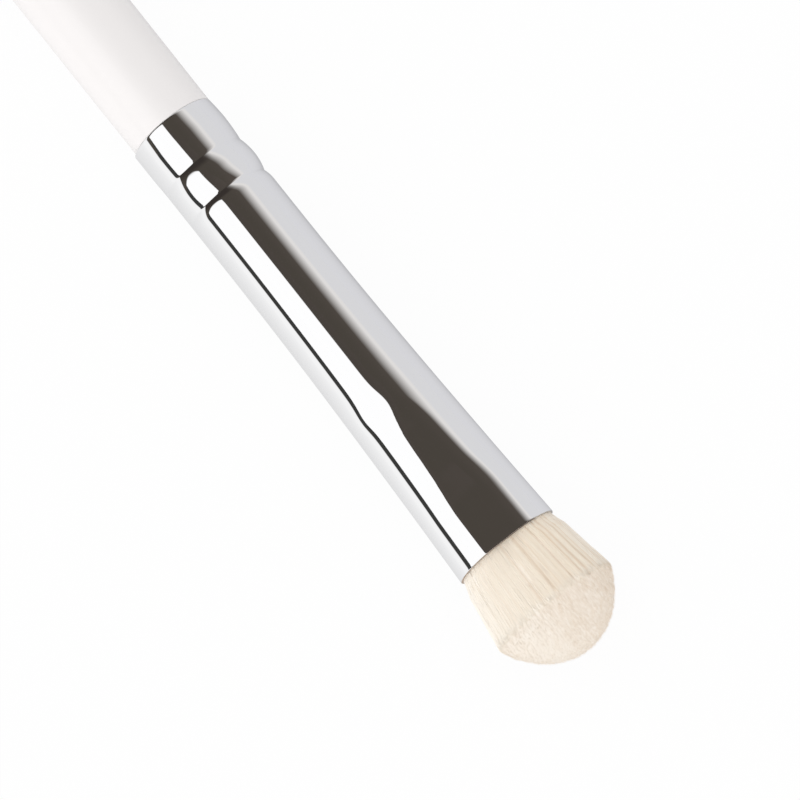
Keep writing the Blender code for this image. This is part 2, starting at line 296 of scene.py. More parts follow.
# Tips too are streaked toward +Y, partly as painted shade
STREAKED_TIPS = ((0.83, 0.725, 0.605, 1), (0.985, 0.905, 0.812, 1))
COTTON = ((0.7, 0.66, 0.56, 1), (0.9, 0.88, 0.82, 1))
RESIN = ((0.66, 0.5, 0.24, 1), (0.8, 0.68, 0.4, 1))
ADHESIVE = ((0.5, 0.33, 0.15, 1), (0.7, 0.52, 0.3, 1))

# Where the colours change: across on the cut edge and in the hair, and along toward the hair's tips
# The cut edge's painted shade darkens across the first of these and lightens across the second
EDGE_SHADE_ACROSS = (-0.003, 0.003)
LIGHTER_EDGE_ACROSS = (0.003, 0.0035)
# Painted shade: the hair darkens and streaks toward +Y across these places
TAN_AND_SHADED_SIDE = (-0.0035, 0.003)
STREAKED_SIDE = (-0.003, 0.001)
CORNER = MOUTH + CORNER_HEIGHT
# Painted light: the belt under the corner where the hair is paled
PAINTED_LIGHT_BELT = (CORNER - 0.0009, CORNER - 0.0003)
PAINTED_LIGHT_SHARE = 0.35
TIP_BELT = (CORNER - 0.0001, CORNER + 0.0003)

# Lines in the imported hair, fine ones over broad ones; the darker ones are partly painted shadow
# between hairs
PACKED_STRETCH = (1, 1, 0.35)
PACKED_CONTRAST = (0.3, 0.7)
FINE_SHARE = 0.75

# Floor: what the plating shows of it on either side of the brush, a glow with painted shadow that
# darkens near the brush and painted shade that darkens the +Y side
FLOOR_SIZE = 6
PAPER = (0.9, 0.9, 0.9, 1)
FLOOR_NEAR = 0.006
FLOOR_NEAREST = 0.005
LEFT_FLOOR_PAINTED_SHADOW = ((1.02, 1.02, 1.02, 1), (0.785, 0.785, 0.79, 1))
LEFT_POWER = 0.6
RIGHT_FLOOR_PAINTED_SHADE = ((0.7, 0.7, 0.73, 1), (0.5, 0.5, 0.52, 1))
RIGHT_POWER = 3.0
FLOOR_MIDDLE = (-0.004, 0.004)
SEEN_GLOW = 0.95
REFLECTED_GLOW = 0.8

# Studio: what the plating shows of it. A ray's angle is its turn round the brush in degrees, 0
# straight up and 90 toward +Y, and its slope is its X, -0.224 off skin that lies along the brush
WHITE = (1, 1, 1, 1)
LIGHT_LESS_TOWARD_Y = -0.27
STRAIGHT_SLOPE = 0.224
SIDE_WALL = (0.742, 0.742, 0.757, 1)
SIDE_WALL_FROM = (0, 20)
CREAM_WALL = (0.81, 0.79, 0.775, 1)
CREAM_WALL_FROM = (20, 28)
CREAM_WALL_TO = (55, 61)
PANEL = (1.1, 1.1, 1.1, 1)
PANEL_FROM = (-66, -65)
PANEL_TO = -14.5
PANEL_TURN = 9
PANEL_BLUR = 0.7
LINE = (0.043, 0.043, 0.041, 1)
LINE_FROM = (-77, -75.5)
LINE_TO = -65.5
CARD = ((0.067, 0.057, 0.049, 1), (0.083, 0.07, 0.06, 1))
CARD_TONES = (-20, 30)
CARD_TO = (29, 52)
CARD_TURN = -64
BACKDROP = (0.07, 0.06, 0.05, 1)
BACKDROP_SLOPE = -0.56
BACKDROP_BLUR = 0.02
BACKDROP_FROM = (-78, -74)
BACKDROP_TO = (5, 40)
BOW_MIDDLE = 38
BOW_REACH = 32
BOW_POWER = 2.5
BOW_DEPTH = 0.22
GROOVE = (0.04, 0.033, 0.029, 1)
GROOVE_SLOPE = (-0.65, -0.5)


def smooth_min(a, b, width):
    """The lower of two values, rounded over where they cross."""
    near = np.clip(1 - np.abs(a - b) / width, 0, 1)
    return np.minimum(a, b) - near**2 * width / 4


def drawn(line, softness):
    """A curve through pairs of distance and value, with its corners softened."""
    distances, values = np.array(line).T
    fine = np.arange(distances[0], FERRULE_LENGTH, FINE_STEP)
    reach = 4 * round(softness / FINE_STEP)
    weights = np.exp(-0.5 * (np.arange(-reach, reach + 1) * FINE_STEP / softness) ** 2)
    padded = np.pad(np.interp(fine, distances, values), reach, mode="reflect", reflect_type="odd")
    soft = np.convolve(padded, weights / weights.sum(), mode="valid")
    return lambda distance: np.interp(distance, fine, soft)


def ramp(share):
    """A smooth rise from 0 to 1."""
    share = np.clip(share, 0, 1)
    return share**2 * (3 - 2 * share)


def steps(end, count):
    """Even steps from 0 to an end, the 0 left out."""
    return np.linspace(0, end, count + 1)[1:]


half_width_at = drawn(HALF_WIDTHS, WIDTH_SOFTNESS)
half_thickness_at = drawn(HALF_THICKNESSES, THICKNESS_SOFTNESS)
flat_low_at = drawn(FLAT_LOW_EDGES, EDGE_SOFTNESS)
flat_high_at = drawn(FLAT_HIGH_EDGES, EDGE_SOFTNESS)

# Modelling


def select_only(piece):
    bpy.ops.object.select_all(action="DESELECT")
    piece.select_set(True)
    bpy.context.view_layer.objects.active = piece


def begin_ring(name, sides, x, radius):
    """Adds a ring of vertices round the brush's axis and opens it for shaping."""
    bpy.ops.object.select_all(action="DESELECT")
    bpy.ops.mesh.primitive_circle_add(
        vertices=sides,
        radius=radius,
        location=(x, 0, AXIS_HEIGHT),
        rotation=(0, math.pi / 2, 0),
    )
    piece = bpy.context.object
    piece.name = piece.data.name = name
    bpy.ops.object.transform_apply(location=True, rotation=True, scale=True)
    bpy.ops.object.mode_set(mode="EDIT")
    bpy.ops.mesh.select_all(action="SELECT")
    return piece


def draw_out(stations):
    """Extrudes the selected ring from station to station, each (x, half width, half thickness)."""
    for (x, wide, thick), (next_x, next_wide, next_thick) in zip(stations, stations[1:]):
        move = {"value": (next_x - x, 0, 0)}
        bpy.ops.mesh.extrude_region_move(TRANSFORM_OT_translate=move)
        bpy.ops.transform.resize(
            value=(1, next_wide / wide, next_thick / thick),
            center_override=(next_x, 0, AXIS_HEIGHT),
        )


def finish_shaping():
    """Turns all faces outwards and leaves edit mode."""
    bpy.ops.mesh.select_all(action="SELECT")
    bpy.ops.mesh.normals_make_consistent(inside=False)
    bpy.ops.object.mode_set(mode="OBJECT")


def smooth_shading(piece):
    select_only(piece)
    bpy.ops.object.shade_smooth_by_angle(angle=SMOOTH_ANGLE)


def read_places(piece):
    """Where a piece's vertices are, a row for each."""
    places = np.empty(len(piece.data.vertices) * 3)
    piece.data.vertices.foreach_get("co", places)
    return places.reshape(-1, 3)


def write_places(piece, places):
    piece.data.vertices.foreach_set("co", places.ravel())
    piece.data.update()


def give_finishes(piece, main, other, takes_other):
    """Gives a piece two finishes, the other one to the faces that the test picks."""
    piece.data.materials.append(main)
    piece.data.materials.append(other)
    for face in piece.data.polygons:
        face.material_index = int(takes_other(face))


# Handle


def handle_outline():
    """Radii of the lacquered body from the ferrule to the turned flat on its end."""
    outline = [(BACK, SHOULDER_RADIUS - SHOULDER_ROUNDING)]
    for angle in steps(math.pi / 2, SHOULDER_RINGS):
        x = BACK - SHOULDER_ROUNDING * (1 - math.cos(angle))
        radius = SHOULDER_RADIUS - SHOULDER_ROUNDING * (1 - math.sin(angle))
        outline.append((x, radius))
    for share in steps(1, SWELL_RINGS):
        swell = (SWELL_RADIUS - SHOULDER_RADIUS) * math.sin(math.pi / 2 * share)
        outline.append((BACK - SWELL_DISTANCE * share, SHOULDER_RADIUS + swell))
    length = BACK - SWELL_DISTANCE - BUTT - TAIL_ROUNDING
    for share in steps(1, TAPER_RINGS):
        radius = SWELL_RADIUS - (SWELL_RADIUS - TAIL_RADIUS) * share**TAPER_POWER
        outline.append((BACK - SWELL_DISTANCE - length * share, radius))
    for angle in steps(math.pi / 2, TAIL_RINGS):
        radius = TAIL_FLAT_RADIUS + (TAIL_RADIUS - TAIL_FLAT_RADIUS) * math.cos(angle)
        outline.append((BUTT + TAIL_ROUNDING * (1 - math.sin(angle)), radius))
    return outline


def make_handle(lacquer, wood):
    """The turned handle: bare tenon inside the ferrule, then the lacquered body."""
    top = BACK + TENON_LENGTH
    tenon = [
        (top, TENON_RADIUS - TENON_CHAMFER),
        (top - TENON_CHAMFER, TENON_RADIUS),
        (BACK + TENON_FOOT, TENON_RADIUS),
        (BACK, TENON_RADIUS),
    ]
    stations = [(x, radius, radius) for x, radius in tenon + handle_outline()]
    piece = begin_ring("lacquered_handle", HANDLE_SIDES, top, stations[0][1])
    bpy.ops.mesh.edge_face_add()
    draw_out(stations)
    finish_shaping()
    give_finishes(piece, lacquer, wood, lambda face: face.center.x > BACK + LACQUER_EDGE)
    smooth_shading(piece)
    return piece


# Ferrule


def crimped_radius(z):
    """Radius of the skin near the handle end: a barrel band, a bead and a crimp beyond each."""
    if z < BAND_CREST:
        share = (BAND_CREST - z) / BAND_CREST
        return BAND_RADIUS - (BAND_RADIUS - RIM_RADIUS) * share**RIM_POWER
    if z < FIRST_CRIMP:
        share = (z - BAND_CREST) / (FIRST_CRIMP - BAND_CREST)
        return BAND_RADIUS - (BAND_RADIUS - FIRST_CRIMP_RADIUS) * share**2
    if z < SECOND_CRIMP:
        middle = (FIRST_CRIMP + SECOND_CRIMP) / 2
        share = abs(z - middle) / (SECOND_CRIMP - middle)
        edge = FIRST_CRIMP_RADIUS if z < middle else SECOND_CRIMP_RADIUS
        return BEAD_RADIUS - (BEAD_RADIUS - edge) * share**2
    share = max(0.0, 1 - (z - SECOND_CRIMP) / CRIMP_SHOULDER)
    return TUBE_RADIUS - (TUBE_RADIUS - SECOND_CRIMP_RADIUS) * share**CRIMP_POWER


def flat_plane(distance, across):
    """Height of the upper side's flat at a place across, and how far its two edges lie apart."""
    wide, thick = half_width_at(distance), half_thickness_at(distance)
    low, high = flat_low_at(distance), flat_high_at(distance)
    apart = high - low
    low_height = thick * np.sqrt(1 - (low / wide) ** 2)
    high_height = thick * np.sqrt(1 - (high / wide) ** 2)
    slope = (high_height - low_height) / np.maximum(apart, FINE_STEP)
    return low_height + slope * (across - low), apart


def pressed_height(distance, across, height):
    """Height of the upper side's skin once the flat and the dent beside it are pressed in."""
    plane, apart = flat_plane(distance, across)
    toward_high = across / np.maximum(flat_high_at(distance), LEAST_HIGH_EDGE)
    corner = (FLAT_HIGH_CORNER - FLAT_LOW_CORNER) * np.clip(toward_high, 0, 1)
    corner = (FLAT_LOW_CORNER + corner) * np.clip(apart / FLAT_FULL_WIDTH, LEAST_CORNER_SHARE, 1)
    pressed = np.where(apart > FINE_STEP, smooth_min(height, plane, corner), height)
    along_dent = (distance - DENT_DISTANCE) / DENT_REACH
    across_dent = (across - DENT_ACROSS) / DENT_BREADTH
    return pressed - DENT_DEPTH * np.exp(-0.5 * (along_dent**2 + across_dent**2))


def ferrule_heights():
    """Where the ferrule's rings lie: close together on the crimps and where the jaws pressed it."""
    heights = [0.0]
    for top, rings in FERRULE_RINGS:
        heights += list(np.linspace(heights[-1], top, rings + 1)[1:])
    return heights


def ease_crimps(piece):
    """Fills the crimps out toward the -Y side, which stays nearly straight."""
    places = read_places(piece)
    z = places[:, 0] - BACK
    radius = np.hypot(places[:, 1], places[:, 2] - AXIS_HEIGHT)
    share = np.clip(-places[:, 1] / radius, 0, 1) ** EASED_POWER
    share = np.where(z < CRIMPS_END, share, 0)
    change = 1 + share * (np.interp(z, *np.array(EASED_RADII).T) / radius - 1)
    places[:, 1] *= change
    places[:, 2] = AXIS_HEIGHT + (places[:, 2] - AXIS_HEIGHT) * change
    write_places(piece, places)


def press_flats(piece):
    """Presses the flats into the two broad sides, each the other turned half round."""
    places = read_places(piece)
    distance = MOUTH - places[:, 0]
    height = places[:, 2] - AXIS_HEIGHT
    side = np.sign(height)
    pressed = pressed_height(distance, places[:, 1] * side, np.abs(height))
    broad = np.abs(height) > BROAD_SIDE_SHARE * half_thickness_at(distance)
    places[:, 2] = AXIS_HEIGHT + np.where(broad, side * pressed, height)
    write_places(piece, places)


def make_ferrule(plating, edge):
    """The drawn tube with its two rolled crimps and its pressed mouth, and its wall."""
    stations = []
    for z in ferrule_heights():
        distance = FERRULE_LENGTH - z
        change = crimped_radius(z) / TUBE_RADIUS
        wide, thick = half_width_at(distance) * change, half_thickness_at(distance) * change
        stations.append((BACK + z, wide, thick))
    first = stations[0]
    piece = begin_ring("plated_ferrule", FERRULE_SIDES, first[0], first[1])
    draw_out(stations)
    finish_shaping()
    ease_crimps(piece)
    press_flats(piece)
    wall = piece.modifiers.new("wall", "SOLIDIFY")
    wall.thickness = TUBE_WALL
    wall.offset = -1
    bevel = piece.modifiers.new("rims", "BEVEL")
    bevel.width = RIM_BEVEL
    bevel.segments = RIM_BEVEL_STEPS
    bevel.limit_method = "ANGLE"
    bevel.angle_limit = RIM_BEVEL_ANGLE
    for name in ("wall", "rims"):
        bpy.ops.object.modifier_apply(modifier=name)
    give_finishes(piece, plating, edge, lambda face: face.normal.x > CUT_EDGE_FACING)
    smooth_shading(piece)
    return piece


# Hair


def hair_half_width(height):
    return np.interp(height, *np.array(HAIR_WIDTH_TABLE).T)


def hair_half_thickness(height):
    return np.interp(height, *np.array(HAIR_THICKNESS_TABLE).T)


def dome_height(outwards):
    """How far above the mouth a hair ends, by its place from the middle (0) to the outside (1)."""
    dome = np.clip(1 - outwards**2, 0, 1) ** DOME_POWER
    return CORNER_HEIGHT + (HAIR_LENGTH - CORNER_HEIGHT) * dome


def bore_stations():
    """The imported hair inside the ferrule: tied at its roots and pressed full in the bore."""
    tied_top = FERRULE_LENGTH - ROOT_DEPTH + TIED_LENGTH
    shoulder_top = tied_top + TIED_SHOULDER
    tie = TUBE_RADIUS - TUBE_WALL - BORE_GAP - TIED_RADIUS
    stations = []
    for z in [
        FERRULE_LENGTH - ROOT_DEPTH,
        *np.linspace(tied_top, shoulder_top, TIED_RINGS),
        *np.linspace(shoulder_top, FERRULE_LENGTH + HAIR_START, BORE_RINGS + 1)[1:],
    ]:
        distance = FERRULE_LENGTH - z
        free = tie * (1 - ramp((z - tied_top) / TIED_SHOULDER)) + TUBE_WALL + 2 * BORE_GAP
        thick = min(half_thickness_at(distance), flat_plane(distance, flat_high_at(distance))[0])
        stations.append((BACK + z, float(half_width_at(distance) - free), float(thick - free)))
    return stations


def dome_stations():
    """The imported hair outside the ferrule, domed just under the tips."""
    heights = list(np.linspace(HAIR_START + FINE_STEP, CORNER_HEIGHT - DOME_COVER, BODY_RINGS))
    outwards = [1.0] * len(heights)
    for turn in steps(math.pi / 2, DOME_RINGS + 1)[:-1]:
        outwards.append(math.cos(turn))
        heights.append(dome_height(outwards[-1]) - DOME_COVER)
    stations = []
    for height, outward in zip(heights, outwards):
        share = BODY_SHARE_AT_MOUTH
        share += (BODY_SHARE - BODY_SHARE_AT_MOUTH) * ramp(height / ROUNDED_BY)
        wide = float(share * outward * hair_half_width(height))
        thick = float(share * outward * hair_half_thickness(height))
        stations.append((MOUTH + height, wide, thick))
    return stations


def make_packed_hair(finish):
    """The mass of the hair, from its tied roots to the dome."""
    stations = bore_stations() + dome_stations()
    x, wide, thick = stations[0]
    piece = begin_ring("packed_hair", PACKED_SIDES, x, wide)
    bpy.ops.transform.resize(value=(1, 1, thick / wide), center_override=(x, 0, AXIS_HEIGHT))
    bpy.ops.mesh.edge_face_add()
    draw_out(stations)
    finish_shaping()
    lay_packed_hair(piece)
    piece.data.materials.append(finish)
    smooth_shading(piece)
    return piece


def lay_packed_hair(piece):
    """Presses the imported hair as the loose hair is, and notes each point's root place."""
    places = read_places(piece)
    height = places[:, 0] - MOUTH
    across = places[:, 1] / hair_half_width(height)
    up = (places[:, 2] - AXIS_HEIGHT) / hair_half_thickness(height)
    loose = height > HAIR_START + FINE_STEP / 2
    places[loose, 2] = AXIS_HEIGHT + lay_hair(across, up, height)[1][loose]
    write_places(piece, places)
    roots = np.column_stack([np.zeros(len(places)), across, up]) * TUBE_RADIUS
    layer = piece.data.attributes.new("root", "FLOAT_VECTOR", "POINT")
    layer.data.foreach_set("vector", roots.astype(np.float32).ravel())


def lay_hair(across, up, height):
    """Where hair lies, by its share of the width and thickness: pressed at the mouth, then free."""
    wide = across * hair_half_width(height)
    oval = np.sqrt(np.maximum(1 - across**2, SMALL_SHARE))
    bore = flat_plane(0, wide * np.sign(up))[0] - TUBE_WALL - BORE_GAP
    full = oval * hair_half_thickness(height)
    pressed = np.minimum(full, bore)
    return wide, up / oval * (pressed + (full - pressed) * ramp(height / ROUNDED_BY))


def scatter(draw, count, inner, outer):
    """Even random places in a disc of radius 1, between two distances from its middle."""
    distance = np.sqrt(draw.uniform(inner**2, outer**2, count))
    angle = draw.uniform(0, 2 * math.pi, count)
    return np.column_stack([distance * np.cos(angle), distance * np.sin(angle)])


def pick_shades(draw, dark):
    """A shade for each hair or lock, low where it is dark and high where it is pale."""
    low, high = draw.uniform(*DARK_SHADES, len(dark)), draw.uniform(*PALE_SHADES, len(dark))
    return np.where(dark, low, high)


def make_locks(draw):
    """A shade for each lock: about one in four is dark, at uneven steps round the tuft. The dark
    locks are partly tan hair and partly painted shadow lines between clumps.
    """
    places = np.arange(LOCKS) + draw.integers(0, 2, LOCKS)
    return pick_shades(draw, places % DARK_LOCK_SPACING == 0)


def lock_of(roots):
    """Which lock a hair belongs to: that of the outer hair at the same place across."""
    across = np.clip(roots[:, 1], -1, 1)
    turn = np.arctan2(across, np.sign(roots[:, 0]) * np.sqrt(1 - across**2))
    return (turn / (2 * math.pi) % 1 * LOCKS).astype(int)


def comb_hair(draw, roots, clumps, kind, locks=None):
    """Combs hairs from their roots: spread, gathered a little into clumps and slightly waved.

    A hair ends on the dome, and is as long as its kind or reaches down into the ferrule. Returns
    the points along each, its shade, which is mostly its lock's, and the locks' shades, which are
    drawn if none are given.
    """
    count = len(roots)
    outwards = np.minimum(np.hypot(roots[:, 0], roots[:, 1]), 1)
    tips = dome_height(outwards) - np.abs(draw.normal(0, kind.scatter, count))
    starts = tips - kind.length if kind.length else np.full(count, HAIR_START)
    heights = starts[:, None] + (tips - starts)[:, None] * np.array(kind.shares)

    apart = (roots[:, None, :] - clumps[None, :, :]) * (CLUMP_STRETCH, 1)
    nearest = (apart**2).sum(axis=2).argmin(axis=1)
    pull = kind.pull * np.clip(heights / CORNER_HEIGHT, 0, 1)
    pull *= (LEAST_PULL + (1 - LEAST_PULL) * ramp(0.5 + SIDE_PULL * roots[:, 1]))[:, None]
    places = roots[:, None, :] + (clumps[nearest] - roots)[:, None, :] * pull[:, :, None]
    lean = draw.normal(0, LEAN, (len(clumps), 2))[nearest] + draw.normal(0, LEAN, (count, 2))
    places += lean[:, None, :] * (np.clip(heights / HAIR_LENGTH, 0, 1) ** LEAN_POWER)[:, :, None]
    places /= np.maximum(np.hypot(places[:, :, 0], places[:, :, 1]), 1)[:, :, None]
    wide, thick = lay_hair(places[:, :, 1], places[:, :, 0], heights)
    wave = draw.normal(0, WAVE, (2, *heights.shape))
    points = np.stack([MOUTH + heights, wide + wave[0], AXIS_HEIGHT + thick + wave[1]], axis=2)

    shade = pick_shades(draw, draw.uniform(0, 1, count) < kind.dark_share)
    if locks is None:
        locks = make_locks(draw)
    shade += (locks[lock_of(roots)] - shade) * kind.lock_share
    return points, shade, locks


def hair_section():
    """The three-sided outline of a hair."""
    outline = bpy.data.curves.new("hair_section", "CURVE")
    ring = outline.splines.new("POLY")
    ring.points.add(len(HAIR_CORNERS) - 1)
    for point, turn in zip(ring.points, HAIR_CORNERS):
        angle = 2 * math.pi * turn
        point.co = (HAIR_RADIUS * math.cos(angle), HAIR_RADIUS * math.sin(angle), 0, 1)
    ring.use_cyclic_u = True
    section = bpy.data.objects.new("hair_section", outline)
    bpy.context.scene.collection.objects.link(section)
    return section


def grow_hair(name, points, shade, kind, finish):
    """Makes the hairs as curves that thin out to a point at both ends, and then as one mesh."""
    section = hair_section()
    curve = bpy.data.curves.new(name, "CURVE")
    curve.dimensions = "3D"
    curve.bevel_mode = "OBJECT"
    curve.bevel_object = section
    weights = np.ones((len(kind.shares), 1))
    for hair in points:
        spline = curve.splines.new("POLY")
        spline.points.add(len(kind.shares) - 1)
        spline.points.foreach_set("co", np.hstack([hair, weights]).ravel())
        spline.points.foreach_set("radius", kind.thinning)
    piece = bpy.data.objects.new(name, curve)
    bpy.context.scene.collection.objects.link(piece)
    select_only(piece)
    bpy.ops.object.convert(target="MESH")
    piece = bpy.context.object
    bpy.data.objects.remove(section)
    mesh = piece.data
    mesh.name = name
    shades = np.repeat(shade, len(mesh.vertices) // len(points))
    layer = mesh.attributes.new("shade", "FLOAT", "POINT")
    layer.data.foreach_set("value", shades.astype(np.float32))
    bpy.ops.object.mode_set(mode="EDIT")
    bpy.ops.mesh.select_all(action="SELECT")
    bpy.ops.mesh.remove_doubles(threshold=MERGE_DISTANCE)
    finish_shaping()
    mesh.materials.clear()
    mesh.materials.append(finish)
    bpy.ops.object.shade_flat()
    return piece


def make_hair(finish, tip_finish):
    """The loose hair, from one seeded source: long hairs outside, and tips that fill the dome."""
    draw = np.random.default_rng(SEED)
    clumps = scatter(draw, CLUMPS, 0, 1)
    points, shade, locks = comb_hair(draw, scatter(draw, *OUTER_LAYER), clumps, LONG_HAIR)
    layers = [grow_hair("outer_hair", points, shade, LONG_HAIR, finish)]
    for name, *layer in TIP_LAYERS:
        points, shade, _ = comb_hair(draw, scatter(draw, *layer), clumps, TIP_HAIR, locks)
        layers.append(grow_hair(name, points, shade, TIP_HAIR, tip_finish))
    return layers


# Finishes


def new_finish(name):
    """A new material, its node tree and its shader."""
    finish = bpy.data.materials.new(name)
    finish.use_nodes = True
    return finish, finish.node_tree, finish.node_tree.nodes["Principled BSDF"]


def feed(tree, value, socket):
    """Links an output to a socket, or sets the socket to a constant."""
    if isinstance(value, bpy.types.NodeSocket):
        tree.links.new(value, socket)
    else:
        socket.default_value = value


def reckon(tree, operation, *values):
    made = tree.nodes.new("ShaderNodeMath")
    made.operation = operation
    for value, socket in zip(values, made.inputs):
        feed(tree, value, socket)
    return made.outputs[0]


def times(tree, first, second):
    return reckon(tree, "MULTIPLY", first, second)


def rise(tree, value, low, high, smooth=True):
    """0 where the value is below low and 1 where it is above high."""
    made = tree.nodes.new("ShaderNodeMapRange")
    made.interpolation_type = "SMOOTHSTEP" if smooth else "LINEAR"
    feed(tree, value, made.inputs["Value"])
    feed(tree, low, made.inputs["From Min"])
    feed(tree, high, made.inputs["From Max"])
    return made.outputs["Result"]


def fall(tree, value, low, high, smooth=True):
    """1 where the value is below low and 0 where it is above high."""
    return reckon(tree, "SUBTRACT", 1, rise(tree, value, low, high, smooth))


def blend(tree, share, first, second):
    """A colour between two, by a share from 0 to 1."""
    made = tree.nodes.new("ShaderNodeMix")
    made.data_type = "RGBA"
    feed(tree, share, made.inputs["Factor"])
    feed(tree, first, made.inputs[6])
    feed(tree, second, made.inputs[7])
    return made.outputs[2]


def grain(tree, place, scale, detail=2.0, stretch=(1, 1, 1)):
    """Noise on a place, stretched so that it runs along the brush or round it."""
    mapping = tree.nodes.new("ShaderNodeMapping")
    mapping.inputs["Scale"].default_value = stretch
    feed(tree, place, mapping.inputs["Vector"])
    noise = tree.nodes.new("ShaderNodeTexNoise")
    noise.inputs["Scale"].default_value = scale
    noise.inputs["Detail"].default_value = detail
    feed(tree, mapping.outputs["Vector"], noise.inputs["Vector"])
    return noise.outputs["Fac"]


def uneven(tree, noise, spread, base):
    """A number or an output that noise raises by up to the spread."""
    return reckon(tree, "MULTIPLY_ADD", noise, spread, base)


def raise_surface(tree, shader, height, strength, distance):
    bump = tree.nodes.new("ShaderNodeBump")
    bump.inputs["Strength"].default_value = strength
    bump.inputs["Distance"].default_value = distance
    feed(tree, height, bump.inputs["Height"])
    feed(tree, bump.outputs["Normal"], shader.inputs["Normal"])


def own_place(tree):
    return tree.nodes.new("ShaderNodeTexCoord").outputs["Object"]


def own_attribute(tree, name, output):
    attribute = tree.nodes.new("ShaderNodeAttribute")
    attribute.attribute_name = name
    return attribute.outputs[output]


def parts_of(tree, place):
    """The X, Y and Z of a place or direction."""
    split = tree.nodes.new("ShaderNodeSeparateXYZ")
    feed(tree, place, split.inputs[0])
    return split.outputs


def clouded_finish(name, colours, roughness, scale, detail, stretch, strength, distance):
    """Two colours that one noise mixes, with the surface raised by the same noise."""
    finish, tree, shader = new_finish(name)
    cloud = grain(tree, own_place(tree), scale, detail, stretch)
    feed(tree, blend(tree, cloud, *colours), shader.inputs["Base Color"])
    shader.inputs["Roughness"].default_value = roughness
    raise_surface(tree, shader, cloud, strength, distance)
    return finish


def white_lacquer():
    """Glossy white lacquer over turned wood, faintly uneven as sprayed lacquer is."""
    finish, tree, shader = new_finish("white_lacquer")
    place = own_place(tree)
    cloud = grain(tree, place, scale=60, stretch=(0.3, 1, 1))
    feed(tree, blend(tree, cloud, *LACQUER), shader.inputs["Base Color"])
    roughness = uneven(tree, grain(tree, place, scale=200), spread=0.05, base=0.35)
    feed(tree, roughness, shader.inputs["Roughness"])
    shader.inputs["Coat Weight"].default_value = 0.15
    shader.inputs["Coat Roughness"].default_value = 0.12
    raise_surface(tree, shader, grain(tree, place, scale=900), strength=0.03, distance=0.00001)
    return finish


def bare_wood():
    """The tenon's pale wood, with grain along the handle."""
    return clouded_finish(
        "bare_wood", WOOD, roughness=0.7,
        scale=900, detail=6, stretch=(0.06, 1, 1), strength=0.3, distance=0.0001,
    )


def bright_plating():
    """Polished plating with the finest marks of wiping and drawing on it."""
    finish, tree, shader = new_finish("bright_plating")
    place = own_place(tree)
    marks = grain(tree, place, scale=2500, detail=3, stretch=(0.05, 1, 1))
    feed(tree, blend(tree, marks, *PLATING), shader.inputs["Base Color"])
    shader.inputs["Metallic"].default_value = 1.0
    roughness = uneven(tree, grain(tree, place, scale=400), spread=0.03, base=0.015)
    feed(tree, roughness, shader.inputs["Roughness"])
    return finish


def cut_edge():
    """The tube's cut edge at the mouth, dull metal with painted shade: a dark line for the shaded
    gap and the shaded hair it reflects, darkest toward +Y and lighter at its +Y end.
    """
    finish, tree, shader = new_finish("cut_edge")
    place = own_place(tree)
    across = parts_of(tree, place)[1]
    ragged = uneven(tree, grain(tree, place, scale=1500), spread=0.002, base=across)
    # Painted shade: the edge darkens toward +Y, then lightens at the +Y end
    painted_shade = blend(tree, rise(tree, ragged, *EDGE_SHADE_ACROSS), *EDGE_PAINTED_SHADE)
    colour = blend(tree, rise(tree, across, *LIGHTER_EDGE_ACROSS), painted_shade, LIGHTER_EDGE)
    feed(tree, colour, shader.inputs["Base Color"])
    shader.inputs["Metallic"].default_value = 0.5
    shader.inputs["Roughness"].default_value = 0.5
    return finish


def cream_hair(name, tips=False):
    """Fine cream hair: each hair has its own shade."""
    finish, tree, shader = new_finish(name)
    colour = hair_colour(tree, own_attribute(tree, "shade", "Fac"), tips)
    feed(tree, colour, shader.inputs["Base Color"])
    shader.inputs["Roughness"].default_value = 0.6
    shader.inputs["Sheen Weight"].default_value = 0.1
    return finish


def hair_colour(tree, shade, tips):
    """Cream, darker and streaked toward +Y: partly tan hairs, partly painted shade of light that
    falls from -Y. The tips on the dome are less yellow, and streaked toward +Y in the same way.
    """
    x, y, _ = parts_of(tree, own_place(tree))
    pale, mixed = blend(tree, shade, *PALE_HAIR), blend(tree, shade, *TAN_AND_SHADED_HAIR)
    # Painted shade: toward +Y the hair takes the darker, streaked colours
    own = blend(tree, rise(tree, y, *TAN_AND_SHADED_SIDE), pale, mixed)
    # Painted light: hair in a belt just under the corner is paled, lifting the shade where the long
    # hairs thin out
    own = blend(tree, times(tree, rise(tree, x, *PAINTED_LIGHT_BELT), PAINTED_LIGHT_SHARE), own, PAINTED_LIGHT_HAIR)
    if not tips:
        return own
    even, streaked = blend(tree, shade, *EVEN_TIPS), blend(tree, shade, *STREAKED_TIPS)
    tip = blend(tree, rise(tree, y, *STREAKED_SIDE), even, streaked)
    return blend(tree, rise(tree, x, *TIP_BELT), own, tip)


def packed_roots():
    """Hair lying close: its lines follow the hairs from the mouth to the dome. Its darker lines are
    partly painted shadow between the hairs.
    """
    finish, tree, shader = new_finish("packed_roots")
    root = own_attribute(tree, "root", "Vector")
    fine, broad = (
        rise(tree, grain(tree, root, scale, detail, PACKED_STRETCH), *PACKED_CONTRAST)
        for scale, detail in ((9000, 3), (1800, 2))
    )
    lines = reckon(tree, "MULTIPLY_ADD", fine, FINE_SHARE, times(tree, broad, 1 - FINE_SHARE))
    feed(tree, hair_colour(tree, lines, True), shader.inputs["Base Color"])
    shader.inputs["Roughness"].default_value = 0.75
    raise_surface(tree, shader, fine, strength=0.35, distance=0.00003)
    return finish


def tying_cotton():
    """Spun cotton, with its twist across the thread."""
    return clouded_finish(
        "tying_cotton", COTTON, roughness=0.85,
        scale=6000, detail=2, stretch=(1, 0.4, 0.4), strength=0.5, distance=0.00008,
    )


def set_resin():
    """Cured resin, clear amber with faint clouds."""
    return clouded_finish(
        "set_resin", RESIN, roughness=0.15,
        scale=700, detail=3, stretch=(1, 1, 1), strength=0.2, distance=0.0001,
    )


